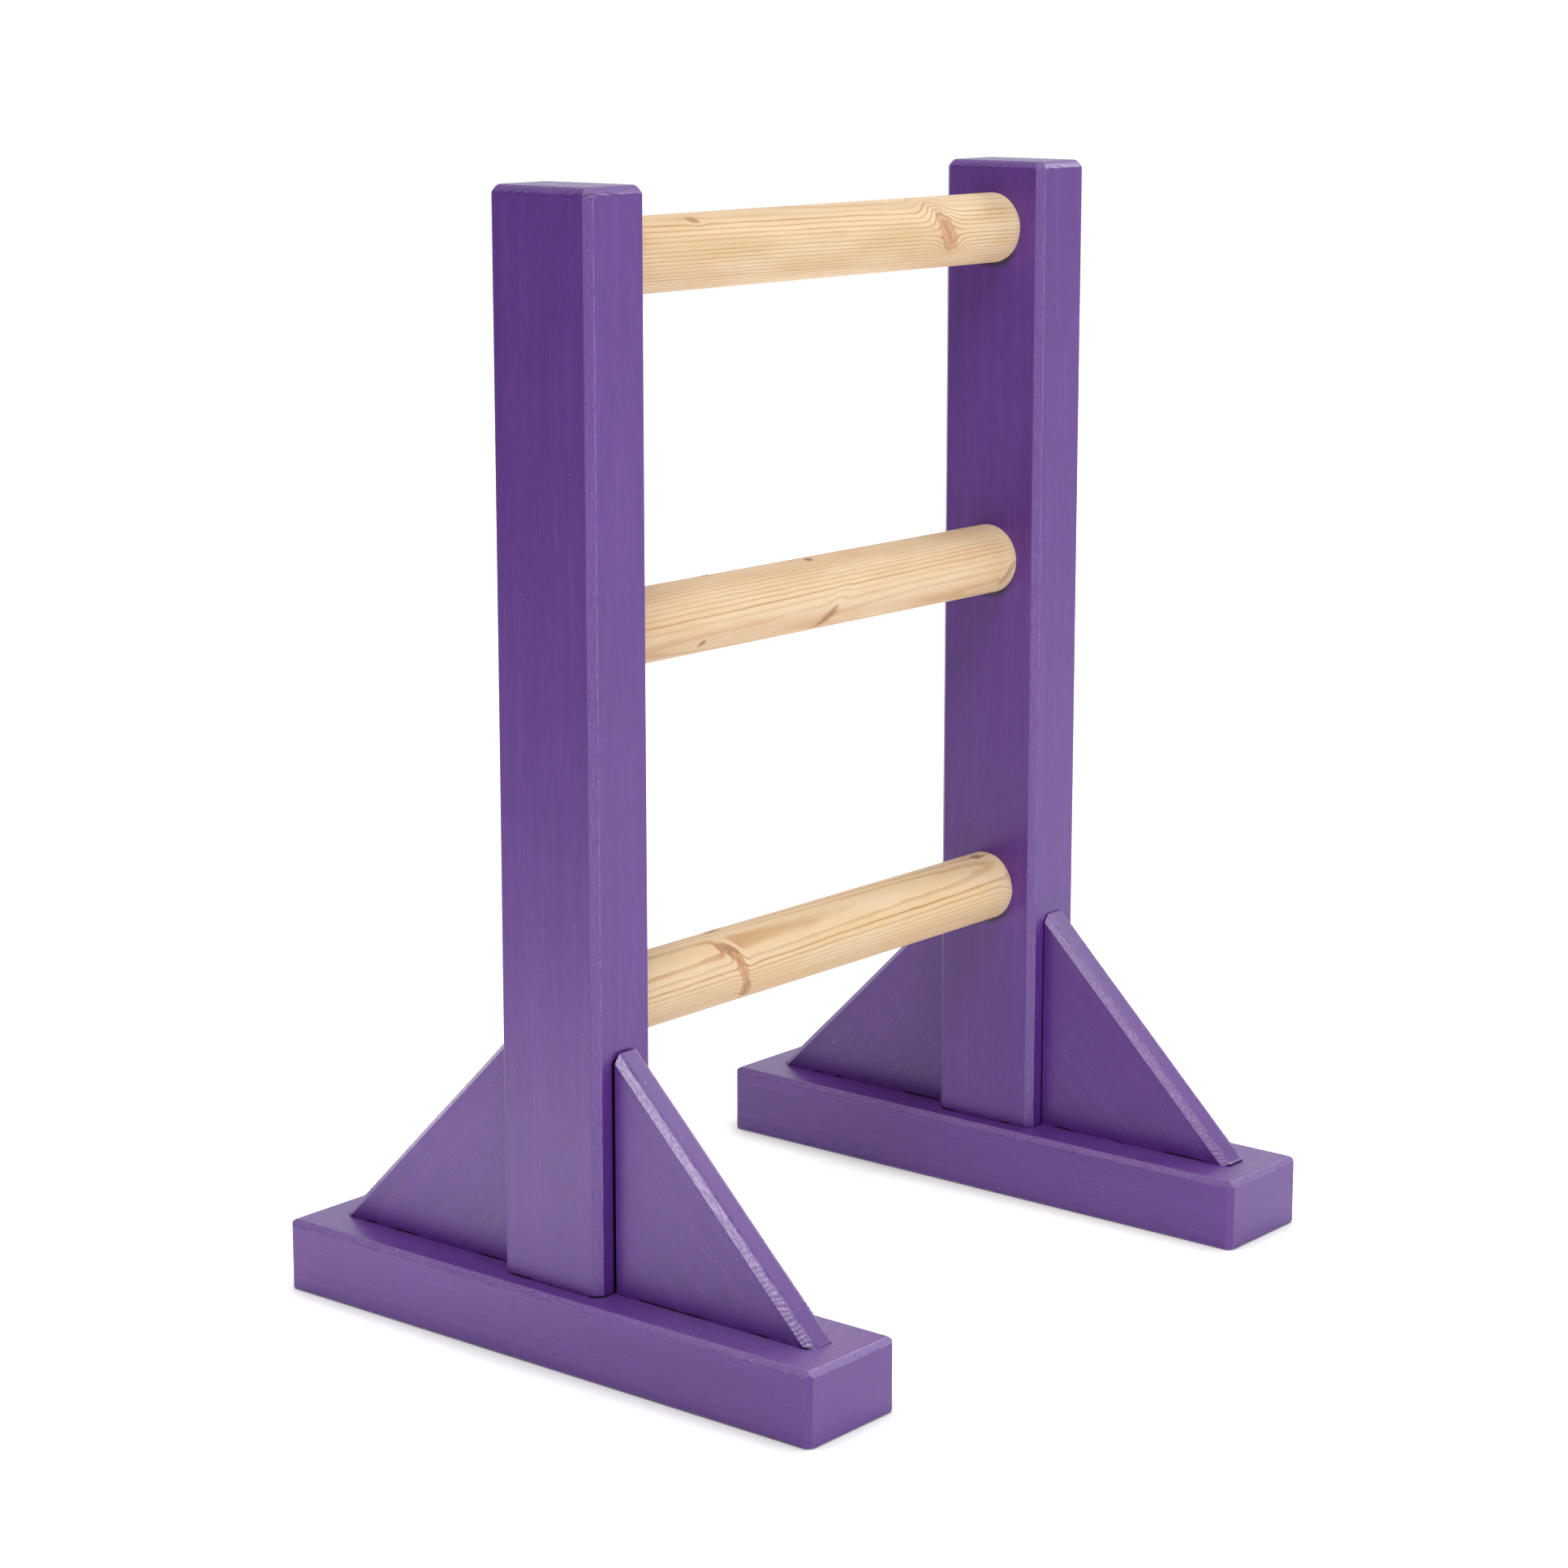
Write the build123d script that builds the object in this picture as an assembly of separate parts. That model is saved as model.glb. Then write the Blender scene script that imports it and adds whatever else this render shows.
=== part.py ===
from build123d import *
import math
import os

# A free-standing gymnastics bar frame: three round wooden bars, one above the other, carried
# by two painted end frames. Each end frame is a foot beam, a post and two triangular gussets.
#
# Frame of the model, in millimetres: X runs along the bars, Y along the foot beams and Z up.
# The origin is on the floor, under the middle of the object. "left" is -X, "front" is -Y.

# Overall layout
OVERALL_WIDTH = 450.0
OVERALL_HEIGHT = 610.0

# Foot beam, planed softwood lying flat on the floor
FOOT_LENGTH = 370.0
FOOT_WIDTH = 69.0
FOOT_HEIGHT = 40.0
FOOT_CHAMFER = 3.0
FOOT_UNDERSIDE_CHAMFER = 1.0

# Post, planed softwood standing on the middle of the foot beam
POST_THICKNESS = 44.0
POST_WIDTH = 69.0
POST_CHAMFER = 4.0

# Gusset, a triangle of board in the corner between the post and the foot beam
GUSSET_THICKNESS = 20.0
GUSSET_REACH = 132.0
GUSSET_RISE = 129.0
GUSSET_CHAMFER = 3.5

# Round bars, glued into blind sockets in the inner faces of the posts
BAR_DIAMETER = 40.0
BAR_HEIGHTS = {"bottom": 184.0, "middle": 380.0, "top": 572.0}
SOCKET_DEPTH = 22.0
GLUE_GAP = 0.1

# Steel wood screws with a countersunk head and a cross recess
SCREW_SHANK = 5.0
SCREW_HEAD = 9.6
SCREW_HEAD_HEIGHT = 2.8
SCREW_TIP_LENGTH = 6.0
DRIVE_WIDTH = 1.2
DRIVE_LENGTH = 4.6
DRIVE_DEPTH = 1.8
HOLE_CLEARANCE = 0.1

BAR_SCREW_LENGTH = 60.0
BAR_SCREW_SINK = 7.0
POST_SCREW_LENGTH = 80.0
POST_SCREW_SPACING = 36.0
GUSSET_SCREW_LENGTH = 60.0
GUSSET_SCREW_OFFSETS = (30.0, 66.0)
FOOT_SCREW_SINK = 1.0

# Lost-head nail driven level through the thin top of each gusset into the post
NAIL_DIAMETER = 1.8
NAIL_HEAD_DIAMETER = 2.8
NAIL_HEAD_HEIGHT = 1.5
NAIL_LENGTH = 50.0
NAIL_BELOW_TOP = 21.0
NAIL_SINK = 2.0

# Places worked out from the sizes above
FOOT_X = (OVERALL_WIDTH - FOOT_WIDTH) / 2
POST_INNER_X = FOOT_X - POST_THICKNESS / 2
POST_OUTER_X = FOOT_X + POST_THICKNESS / 2
BAR_HALF_LENGTH = POST_INNER_X + SOCKET_DEPTH
SIDES = {"left": -1, "right": 1}
ENDS = {"front": -1, "rear": 1}


def foot_beam(side):
    """A flat beam with chamfered top edges and end corners, and a slightly eased underside."""
    x = side * FOOT_X
    beam = Pos(x, 0, FOOT_HEIGHT / 2) * Box(FOOT_WIDTH, FOOT_LENGTH, FOOT_HEIGHT)
    corners = beam.edges().filter_by(Axis.Z)
    beam = chamfer(corners, FOOT_CHAMFER)
    top_edges = beam.faces().sort_by(Axis.Z)[-1].edges()
    beam = chamfer(top_edges, FOOT_CHAMFER - 0.01)
    bottom_edges = beam.faces().sort_by(Axis.Z)[0].edges()
    return chamfer(bottom_edges, FOOT_UNDERSIDE_CHAMFER)


def post(side):
    """An upright with chamfered corners and top, square at the bottom where it is glued down."""
    height = OVERALL_HEIGHT - FOOT_HEIGHT
    x = side * FOOT_X
    upright = Pos(x, 0, FOOT_HEIGHT + height / 2) * Box(POST_THICKNESS, POST_WIDTH, height)
    corners = upright.edges().filter_by(Axis.Z)
    upright = chamfer(corners, POST_CHAMFER)
    top_edges = upright.faces().sort_by(Axis.Z)[-1].edges()
    return chamfer(top_edges, POST_CHAMFER - 0.01)


def gusset(side, end):
    """A right-angled triangle with its two legs on the post and the foot, chamfered on the slope."""
    y_post = end * POST_WIDTH / 2
    y_toe = y_post + end * GUSSET_REACH
    outline = Polyline(
        (0, y_post, FOOT_HEIGHT),
        (0, y_toe, FOOT_HEIGHT),
        (0, y_post, FOOT_HEIGHT + GUSSET_RISE),
        close=True,
    )
    triangle = Pos(side * FOOT_X, 0, 0) * make_face(outline)
    board = extrude(triangle, GUSSET_THICKNESS / 2, dir=(1, 0, 0), both=True)
    slope_length = math.hypot(GUSSET_REACH, GUSSET_RISE)
    slope_edges = [e for e in board.edges() if abs(e.length - slope_length) < 0.01]
    return chamfer(slope_edges, GUSSET_CHAMFER)


def along_x(shape, x, y, z, direction):
    """Turns a shape modelled along +Z so that it points along +X or -X from (x, y, z)."""
    return Pos(x, y, z) * Rot(0, 90 * direction, 0) * shape


def bar(height):
    """A straight round bar that runs from socket bottom to socket bottom, eased at both ends."""
    length = 2 * BAR_HALF_LENGTH
    rod = Cylinder(BAR_DIAMETER / 2, length)
    rod = chamfer(rod.edges().filter_by(GeomType.CIRCLE), 1.0)
    return Pos(0, 0, height) * Rot(0, 90, 0) * rod


def bar_socket(side, height):
    """The blind hole in a post's inner face, with room for glue round the bar."""
    mouth = side * POST_INNER_X
    depth = SOCKET_DEPTH + GLUE_GAP
    hole = Cylinder(BAR_DIAMETER / 2 + GLUE_GAP, depth)
    return Pos(mouth + side * depth / 2, 0, height) * Rot(0, 90, 0) * hole


def screw_body(length, clearance=0.0):
    """A countersunk screw from its head at z = 0 down to its tip at z = length, without the drive."""
    shank_radius = SCREW_SHANK / 2 + clearance
    head_radius = SCREW_HEAD / 2 + clearance
    profile = Polyline(
        (0, 0, 0),
        (head_radius, 0, 0),
        (shank_radius, 0, SCREW_HEAD_HEIGHT),
        (shank_radius, 0, length - SCREW_TIP_LENGTH),
        (0.4 + clearance, 0, length + clearance),
        (0, 0, length + clearance),
        close=True,
    )
    return revolve(make_face(profile), Axis.Z)


def screw(length):
    """A countersunk wood screw with a cross recess in its head."""
    slot = Box(DRIVE_LENGTH, DRIVE_WIDTH, 2 * DRIVE_DEPTH)
    return screw_body(length) - slot - Rot(0, 0, 90) * slot


def nail_body(clearance=0.0):
    """A lost-head nail from its head at z = 0 down to its point."""
    shank_radius = NAIL_DIAMETER / 2 + clearance
    head_radius = NAIL_HEAD_DIAMETER / 2 + clearance
    profile = Polyline(
        (0, 0, 0),
        (head_radius, 0, 0),
        (shank_radius, 0, NAIL_HEAD_HEIGHT),
        (shank_radius, 0, NAIL_LENGTH - 2 * NAIL_DIAMETER),
        (0.2 + clearance, 0, NAIL_LENGTH + clearance),
        (0, 0, NAIL_LENGTH + clearance),
        close=True,
    )
    return revolve(make_face(profile), Axis.Z)


def counterbore(depth):
    """A straight hole above a fastener's head, from the head at z = 0 out to the surface."""
    radius = SCREW_HEAD / 2 + HOLE_CLEARANCE
    return Pos(0, 0, -depth / 2) * Cylinder(radius, depth)


def placed_bar_screw(side, height, shape):
    """Puts a shape where a bar's screw goes: level, from the post's outer face inwards."""
    x = side * (POST_OUTER_X - BAR_SCREW_SINK)
    return along_x(shape, x, 0, height, -side)


def post_screw_places(side):
    """Two screws side by side under each post."""
    return [(side * FOOT_X, end * POST_SCREW_SPACING / 2) for end in ENDS.values()]


def gusset_screw_places(side, end):
    """Two screws in a row under each gusset."""
    return [(side * FOOT_X, end * (POST_WIDTH / 2 + offset)) for offset in GUSSET_SCREW_OFFSETS]


def gusset_screw_length(y):
    """The second screw stands under the low end of the slope, so it is shorter."""
    room = GUSSET_RISE * (1 - (abs(y) - POST_WIDTH / 2) / GUSSET_REACH)
    return min(GUSSET_SCREW_LENGTH, FOOT_HEIGHT - FOOT_SCREW_SINK + 0.45 * room)


def placed_nail(side, end, shape):
    """Puts a shape where a gusset's nail goes: level, from the slope towards the post."""
    z = FOOT_HEIGHT + GUSSET_RISE - NAIL_BELOW_TOP
    y_slope = POST_WIDTH / 2 + GUSSET_REACH * NAIL_BELOW_TOP / GUSSET_RISE
    y = end * (y_slope - NAIL_SINK)
    return Pos(side * FOOT_X, y, z) * Rot(90 * end, 0, 0) * shape


def nail_filler_hole():
    """The hole that the punch leaves above a nail's head, long enough to pass the slope."""
    return Pos(0, 0, -NAIL_SINK) * Cylinder(NAIL_HEAD_DIAMETER / 2 + HOLE_CLEARANCE, 2 * NAIL_SINK)


# Where every foot screw goes, and how long it is
foot_screw_rows = {"post": [], "gusset": []}
for side in SIDES.values():
    for x, y in post_screw_places(side):
        foot_screw_rows["post"].append((x, y, POST_SCREW_LENGTH))
    for end in ENDS.values():
        for x, y in gusset_screw_places(side, end):
            foot_screw_rows["gusset"].append((x, y, gusset_screw_length(y)))

# The holes that the fasteners need in the timber
foot_holes = []
for rows in foot_screw_rows.values():
    for x, y, length in rows:
        drill = screw_body(length, HOLE_CLEARANCE) + counterbore(2 * FOOT_SCREW_SINK)
        foot_holes.append(Pos(x, y, FOOT_SCREW_SINK) * drill)
bar_holes = []
for side in SIDES.values():
    for height in BAR_HEIGHTS.values():
        drill = screw_body(BAR_SCREW_LENGTH, HOLE_CLEARANCE) + counterbore(2 * BAR_SCREW_SINK)
        bar_holes.append(placed_bar_screw(side, height, drill))
nail_holes = []
for side in SIDES.values():
    for end in ENDS.values():
        drill = nail_body(HOLE_CLEARANCE) + nail_filler_hole()
        nail_holes.append(placed_nail(side, end, drill))

# The timber, each piece cut by the fasteners that pass through it
nodes = {}
for side_name, side in SIDES.items():
    nodes[f"{side_name}_foot_beam"] = foot_beam(side) - foot_holes
    sockets = [bar_socket(side, height) for height in BAR_HEIGHTS.values()]
    nodes[f"{side_name}_post"] = post(side) - sockets - foot_holes - bar_holes - nail_holes
    for end_name, end in ENDS.items():
        blank = gusset(side, end)
        nodes[f"{side_name}_{end_name}_gusset"] = blank - foot_holes - nail_holes
for name, height in BAR_HEIGHTS.items():
    nodes[f"{name}_bar"] = bar(height) - bar_holes

# The fasteners, each kind as a group of separate solids
bar_screws = []
bar_screw_plugs = []
plug = counterbore(BAR_SCREW_SINK) & Pos(0, 0, -BAR_SCREW_SINK / 2) * Box(20, 20, BAR_SCREW_SINK)
for side in SIDES.values():
    for height in BAR_HEIGHTS.values():
        bar_screws.append(placed_bar_screw(side, height, screw(BAR_SCREW_LENGTH)))
        bar_screw_plugs.append(placed_bar_screw(side, height, plug))
nodes["bar_screws"] = Compound(children=bar_screws)
nodes["bar_screw_plugs"] = Compound(children=bar_screw_plugs)
for kind, rows in foot_screw_rows.items():
    screws = [Pos(x, y, FOOT_SCREW_SINK) * screw(length) for x, y, length in rows]
    nodes[f"{kind}_screws"] = Compound(children=screws)
nails = []
nail_fillers = []
for side in SIDES.values():
    for end in ENDS.values():
        nails.append(placed_nail(side, end, nail_body()))
        nail_fillers.append(placed_nail(side, end, nail_filler_hole()) & gusset(side, end))
nodes["gusset_nails"] = Compound(children=nails)
nodes["gusset_nail_fillers"] = Compound(children=[s.solid() for s in nail_fillers])

os.makedirs("parts", exist_ok=True)
for name, shape in nodes.items():
    shape.label = name
    export_step(shape, f"parts/{name}.step")
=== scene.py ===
import math
from collections import namedtuple

import bmesh
import bpy
import numpy as np
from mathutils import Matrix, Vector


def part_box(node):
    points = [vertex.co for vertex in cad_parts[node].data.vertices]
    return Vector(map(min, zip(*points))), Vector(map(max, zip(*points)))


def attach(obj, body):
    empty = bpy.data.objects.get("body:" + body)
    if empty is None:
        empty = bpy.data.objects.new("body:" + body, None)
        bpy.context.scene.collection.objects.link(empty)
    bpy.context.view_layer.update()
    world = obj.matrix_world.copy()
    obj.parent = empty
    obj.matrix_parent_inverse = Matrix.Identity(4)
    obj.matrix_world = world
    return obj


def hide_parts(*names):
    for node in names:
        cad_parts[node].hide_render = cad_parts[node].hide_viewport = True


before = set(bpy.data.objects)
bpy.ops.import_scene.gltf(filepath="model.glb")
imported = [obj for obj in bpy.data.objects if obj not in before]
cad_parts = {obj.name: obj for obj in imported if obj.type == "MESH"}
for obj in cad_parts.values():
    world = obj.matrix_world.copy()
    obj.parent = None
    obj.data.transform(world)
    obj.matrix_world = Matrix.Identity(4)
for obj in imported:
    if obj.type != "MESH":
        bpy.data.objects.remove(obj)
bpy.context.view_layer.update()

# A painted softwood bar frame with three bare pine bars. Every length below is in metres.
# The timber is rebuilt as fine meshes in the places that the CAD nodes hold: soft machined
# chamfers, a hand-painted surface, uneven glue joints with painted shade in their gaps, and bars
# with grain and knots.

MM = 0.001
SIDES = ("left", "right")
ENDS = ("front", "rear")
BARS = ("bottom", "middle", "top")

POST_CHAMFER = 4 * MM
FOOT_CHAMFER = 3 * MM
UNDERSIDE_CHAMFER = 1 * MM
GUSSET_CHAMFER = 3.5 * MM
SHARPEST_CHAMFER = 0.05 * MM

# The spacing of mesh points across a face and along a piece, and the points across a chamfer.
SURFACE_STEP = 1.6 * MM
LENGTH_STEP = 2.6 * MM
BAR_STEP = 1.9 * MM
BAR_POINTS_AROUND = 144
CHAMFER_STEPS = 8
# The rings that close an end, as parts of the end's size.
END_RINGS = (0.996, 0.985, 0.94, 0.86, 0.74, 0.58, 0.4, 0.2)

# Each side's gap between post and gusset, how pale its slopes' chamfers are from worn paint and
# painted highlight, from 0 to 1, and how much painted light pales the top of its foot, from 0 to 1.
JOINT_GAPS = {"left": 1.6 * MM, "right": 0.5 * MM}
SLOPE_WEAR_AND_SHEEN = {"left": 1.0, "right": 0.42}
FOOT_UPWARD_LIGHT = {"left": 0.60, "right": 0.20}

# Uneven timber: the size of a wave across and along the grain, and its height.
WAVE = (45 * MM, 160 * MM)
WAVE_HEIGHT = 0.07 * MM
RIPPLE = (12 * MM, 50 * MM)
RIPPLE_HEIGHT = 0.010 * MM
BOARD_WAVE = 50 * MM
BOARD_WAVE_HEIGHT = 0.08 * MM

# Cutter marks: torn end grain on a post's top chamfers, and chatter near the toe of a slope.
TOOTH_PITCH = 6.2 * MM
TOOTH_DEPTH = 0.35 * MM
CHATTER_PITCH = 2.9 * MM
CHATTER_WANDER = 1.3 * MM
CHATTER_REACH = 45 * MM
CHATTER_STRENGTH = 2.2
SLOPE_ROUGHNESS = 0.10 * MM

# A joint under a piece: how far up it reaches, and how wide it opens.
JOINT_REACH = 1.8 * MM
JOINT_DEPTH = 0.9 * MM

# A bar's relief: long waves and raised grain, with their size across the fibres and along them,
# and a knot that dips inside a raised collar.
BAR_WAVE = (8 * MM, 50 * MM)
BAR_WAVE_HEIGHT = 0.05 * MM
BAR_GRAIN = (1.5 * MM, 30 * MM)
BAR_GRAIN_HEIGHT = 0.02 * MM
KNOT_DIP = 0.25 * MM
KNOT_COLLAR = 0.14 * MM

FOOT_SCREWS = (18 * MM, 64.5 * MM, 100.5 * MM)
RECESS_RADIUS = 5.6 * MM
RECESS_DEPTH = 2.4 * MM
PLUG_DEPTH = 7 * MM
PLUG_SINK = 0.3 * MM
FILLER_DEPTH = 0.45 * MM

# The camera's angles are in degrees, and its lens in mm for a sensor 36 mm wide.
CAMERA_PLACE = (-1.554, -1.260, 0.700)
CAMERA_AZIMUTH = -50.61
CAMERA_ELEVATION = 10.83
CAMERA_LENS = 84.64
CAMERA_SHIFT = -0.05


# ---------------------------------------------------------------- noise

def lattice_value(ix, iy, iz, seed):
    """A repeatable value from -1 to 1 for each whole-number lattice point."""
    n = (ix * 374761393 + iy * 668265263 + iz * 1442695041 + seed * 1274126177) & 0xFFFFFFFF
    n = ((n ^ (n >> 13)) * 1274126177) & 0xFFFFFFFF
    return ((n ^ (n >> 16)) & 0xFFFF) / 32767.5 - 1.0


def smooth_noise(points, size, seed):
    """Smooth noise from -1 to 1 at each point. size is the grain of the noise along X, Y and Z."""
    scaled = points / np.array(size, float)
    cell = np.floor(scaled).astype(np.int64)
    t = scaled - cell
    t = t * t * (3 - 2 * t)
    total = np.zeros(len(points))
    for dx in (0, 1):
        for dy in (0, 1):
            for dz in (0, 1):
                weight = 1.0
                for k, d in enumerate((dx, dy, dz)):
                    weight = weight * (t[:, k] if d else 1 - t[:, k])
                corner = lattice_value(cell[:, 0] + dx, cell[:, 1] + dy, cell[:, 2] + dz, seed)
                total += weight * corner
    return total


# ---------------------------------------------------------------- meshes

def spread(count):
    """Values from 0 up to but not including 1, closer together near both ends."""
    s = np.arange(count) / count
    return 0.35 * s + 0.65 * (0.5 - 0.5 * np.cos(math.pi * s))


def soften(values):
    """Rounds the corners of a closed ring of points."""
    return 0.25 * np.roll(values, 1, 0) + 0.5 * values + 0.25 * np.roll(values, -1, 0)


def soften_open(values):
    """Rounds the corners of an open row of values and keeps its ends."""
    inner = 0.25 * values[:-2] + 0.5 * values[1:-1] + 0.25 * values[2:]
    return np.concatenate([values[:1], inner, values[-1:]])


def outline(corners, counts):
    """A closed ring of points through the corners, with the given number of steps on each side."""
    sides = []
    for i, count in enumerate(counts):
        a = np.array(corners[i], float)
        b = np.array(corners[(i + 1) % len(corners)], float)
        t = spread(count)[:, None]
        sides.append(a + (b - a) * t)
    return soften(np.concatenate(sides))


def steps(length):
    """How many mesh steps a face of this length takes."""
    return max(4, int(round(length / SURFACE_STEP)))


def chamfered_rectangle(lo, hi, chamfers, counts):
    """A rectangle with its four corners cut off: at low-low, high-low, high-high and low-high."""
    (x0, y0), (x1, y1) = lo, hi
    a, b, c, d = [max(value, SHARPEST_CHAMFER) for value in chamfers]
    corners = [
        (x0 + a, y0), (x1 - b, y0), (x1, y0 + b), (x1, y1 - c),
        (x1 - c, y1), (x0 + d, y1), (x0, y1 - d), (x0, y0 + a),
    ]
    return outline(corners, counts)


def skin(name, rings):
    """A closed mesh through rings of points, each end closed by rings that shrink to a point."""
    rings = [np.asarray(r, float) for r in rings]
    for index in (0, -1):
        edge = rings[index]
        centre = edge.mean(0)
        inner = [centre + (edge - centre) * k for k in END_RINGS]
        rings = inner[::-1] + rings if index == 0 else rings + inner
    count = len(rings[0])
    points = np.concatenate(rings + [rings[0].mean(0)[None], rings[-1].mean(0)[None]])
    faces = []
    around = [(i, (i + 1) % count) for i in range(count)]
    for row in range(len(rings) - 1):
        base = row * count
        faces += [(base + i, base + j, base + count + j, base + count + i) for i, j in around]
    first, last = len(rings) * count, len(rings) * count + 1
    base = (len(rings) - 1) * count
    faces += [(j, i, first) for i, j in around]
    faces += [(base + i, base + j, last) for i, j in around]
    mesh = bpy.data.meshes.new(name)
    mesh.from_pydata(points.tolist(), [], faces)
    mesh.update()
    work = bmesh.new()
    work.from_mesh(mesh)
    bmesh.ops.recalc_face_normals(work, faces=work.faces)
    work.to_mesh(mesh)
    work.free()
    mesh.shade_smooth()
    piece = bpy.data.objects.new(name, mesh)
    bpy.context.scene.collection.objects.link(piece)
    return piece


def read_points(piece):
    """The piece's points and their outward normals, one row each."""
    mesh = piece.data
    points = np.empty(len(mesh.vertices) * 3)
    mesh.vertices.foreach_get("co", points)
    normals = np.empty(len(mesh.vertices) * 3, np.float32)
    mesh.vertex_normals.foreach_get("vector", normals)
    return points.reshape(-1, 3), normals.reshape(-1, 3).astype(float)


def write_points(piece, points):
    piece.data.vertices.foreach_set("co", points.ravel())
    piece.data.update()


def write_attribute(piece, name, values):
    """Stores one number for each point, for the material to read."""
    layer = piece.data.attributes.new(name, "FLOAT", "POINT")
    layer.data.foreach_set("value", np.clip(values, 0, 1).astype(np.float32))


def stand_for(piece, node, material):
    """The piece replaces a CAD node, rides on its body and takes a slot and a material."""
    piece.data.materials.append(material)
    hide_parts(node)
    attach(piece, "root")


def grain_size(axis, size):
    """A size along X, Y and Z, from one across the fibres and one along them."""
    across, along = size
    sizes = [across] * 3
    sizes[axis] = along
    return sizes


def chamfer_mask(normals):
    """1 where the surface slopes between two of the timber's flat faces, 0 on the faces."""
    biggest = np.abs(normals).max(1)
    return np.clip((0.93 - biggest) / 0.12, 0, 1)


def arris_mask(normals):
    """1 along the thin line where a chamfer meets a face."""
    biggest = np.abs(normals).max(1)
    return np.clip(1 - np.abs(biggest - 0.92) / 0.05, 0, 1)


def hand_finish(piece, grain, seed):
    """Planed, sanded and painted timber isn't quite flat: long waves, and chamfers that wander.

    It also marks where paint wears and where highlight is painted: a foot, with grain along Y, on
    its upper edges, and a post on all its chamfers, with a thin painted highlight line only where a
    chamfer meets a narrow face.
    """
    points, normals = read_points(piece)
    edge = chamfer_mask(normals)
    lift = WAVE_HEIGHT * smooth_noise(points, grain_size(grain, WAVE), seed)
    lift += edge * RIPPLE_HEIGHT * smooth_noise(points, grain_size(grain, RIPPLE), seed + 1)
    write_points(piece, points + normals * lift[:, None])
    if grain == 1:
        upper = np.abs(normals[:, 2]) > 0.25
        write_attribute(piece, "edge", edge * upper)
        write_attribute(piece, "arris", arris_mask(normals) * np.where(upper, 1.0, 0.3))
    else:
        narrow_side = np.abs(normals[:, 1]) > np.abs(normals[:, 0])
        write_attribute(piece, "edge", edge)
        write_attribute(piece, "arris", arris_mask(normals) * narrow_side)


def post_piece(side, seed):
    """An upright: chamfered corners and top, with a ragged line where it meets the foot."""
    node = f"{side}_post"
    lo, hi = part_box(node)
    c = POST_CHAMFER
    broad, narrow = 2 * steps(hi.y - lo.y), 2 * steps(hi.x - lo.x)
    counts = [narrow, CHAMFER_STEPS, broad, CHAMFER_STEPS] * 2
    rows = int(round((hi.z - lo.z) / LENGTH_STEP))
    z = lo.z + (hi.z - c - lo.z) * np.append(spread(rows), 1.0)
    inset = np.zeros(len(z))
    t = np.linspace(0, 1, 11)[1:]
    z = np.concatenate([z, hi.z - c + c * t])
    inset = np.concatenate([inset, c * (0.6 * t + 0.4 * (1 - np.sqrt(1 - t * t)))])
    z, inset = soften_open(z), soften_open(inset)
    rings = []
    for height, shrink in zip(z, inset):
        ring = chamfered_rectangle(
            (lo.x + shrink, lo.y + shrink), (hi.x - shrink, hi.y - shrink),
            (c - 0.6 * shrink,) * 4, counts,
        )
        rings.append(np.column_stack([ring, np.full(len(ring), height)]))
    piece = skin(f"{side}_post_timber", rings)
    hand_finish(piece, 2, seed)
    cutter_teeth(piece, hi.z - c, hi.z, seed)
    open_joint(piece, lo.z, under_gussets(piece, side), seed)
    return piece, node


def under_gussets(piece, side):
    """1 on the strips of a post that its two gussets cover, which the material paints near black as
    shade.
    """
    points, normals = read_points(piece)
    lo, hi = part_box(f"{side}_front_gusset")
    middle, half = (lo.x + hi.x) / 2, (hi.x - lo.x) / 2
    inside = np.clip((half + 0.4 * MM - np.abs(points[:, 0] - middle)) / (0.8 * MM) + 0.5, 0, 1)
    below = np.clip((hi.z - 1.5 * MM - points[:, 2]) / (2.0 * MM), 0, 1)
    return inside * below * (np.abs(normals[:, 1]) > 0.9)


def cutter_teeth(piece, low, high, seed):
    """Torn grain that the cutter left across the end grain of a post's top chamfers."""
    points, normals = read_points(piece)
    on_chamfer = (points[:, 2] > low - 0.2 * MM) & (points[:, 2] < high - 0.3 * MM)
    on_chamfer &= np.abs(normals[:, 2]) < 0.93
    along = points[:, 1] + 0.5 * points[:, 0] + 1.6 * points[:, 2]
    along += 1.6 * MM * smooth_noise(points, [9 * MM] * 3, seed + 6)
    height = np.clip((points[:, 2] - low) / (high - low), 0, 1)
    wave = np.sin(2 * math.pi * along / TOOTH_PITCH)
    tooth = np.clip(wave - 0.10 - 1.3 * height, 0, 0.5) / 0.5
    patch = np.clip(0.50 + 1.7 * smooth_noise(points, [13 * MM] * 3, seed + 5), 0, 1)
    torn = np.where(on_chamfer, tooth * patch, 0)
    write_points(piece, points - normals * (torn * TOOTH_DEPTH)[:, None])
    write_attribute(piece, "torn", torn)


def open_joint(piece, floor, facing, seed):
    """Opens the joint under a piece here and there, where glue and paint didn't bridge it.

    facing is 1 where the piece faces its neighbour across a gap. The material paints these gaps
    and the opened joint near black, as shade.
    """
    points, normals = read_points(piece)
    near = np.clip(1 - (points[:, 2] - floor) / JOINT_REACH, 0, 1)
    sideways = np.hypot(normals[:, 0], normals[:, 1]) > 0.3
    gap = np.clip(2.4 * smooth_noise(points, [8 * MM] * 3, seed + 7), 0, 1)
    lowest = np.clip(1 - (points[:, 2] - floor) / (0.5 * MM), 0, 1)
    points[:, 2] += np.where(sideways, near * gap * JOINT_DEPTH, 0)
    write_points(piece, points)
    write_attribute(piece, "joint", np.maximum(facing, 1.5 * lowest * gap))


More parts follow.
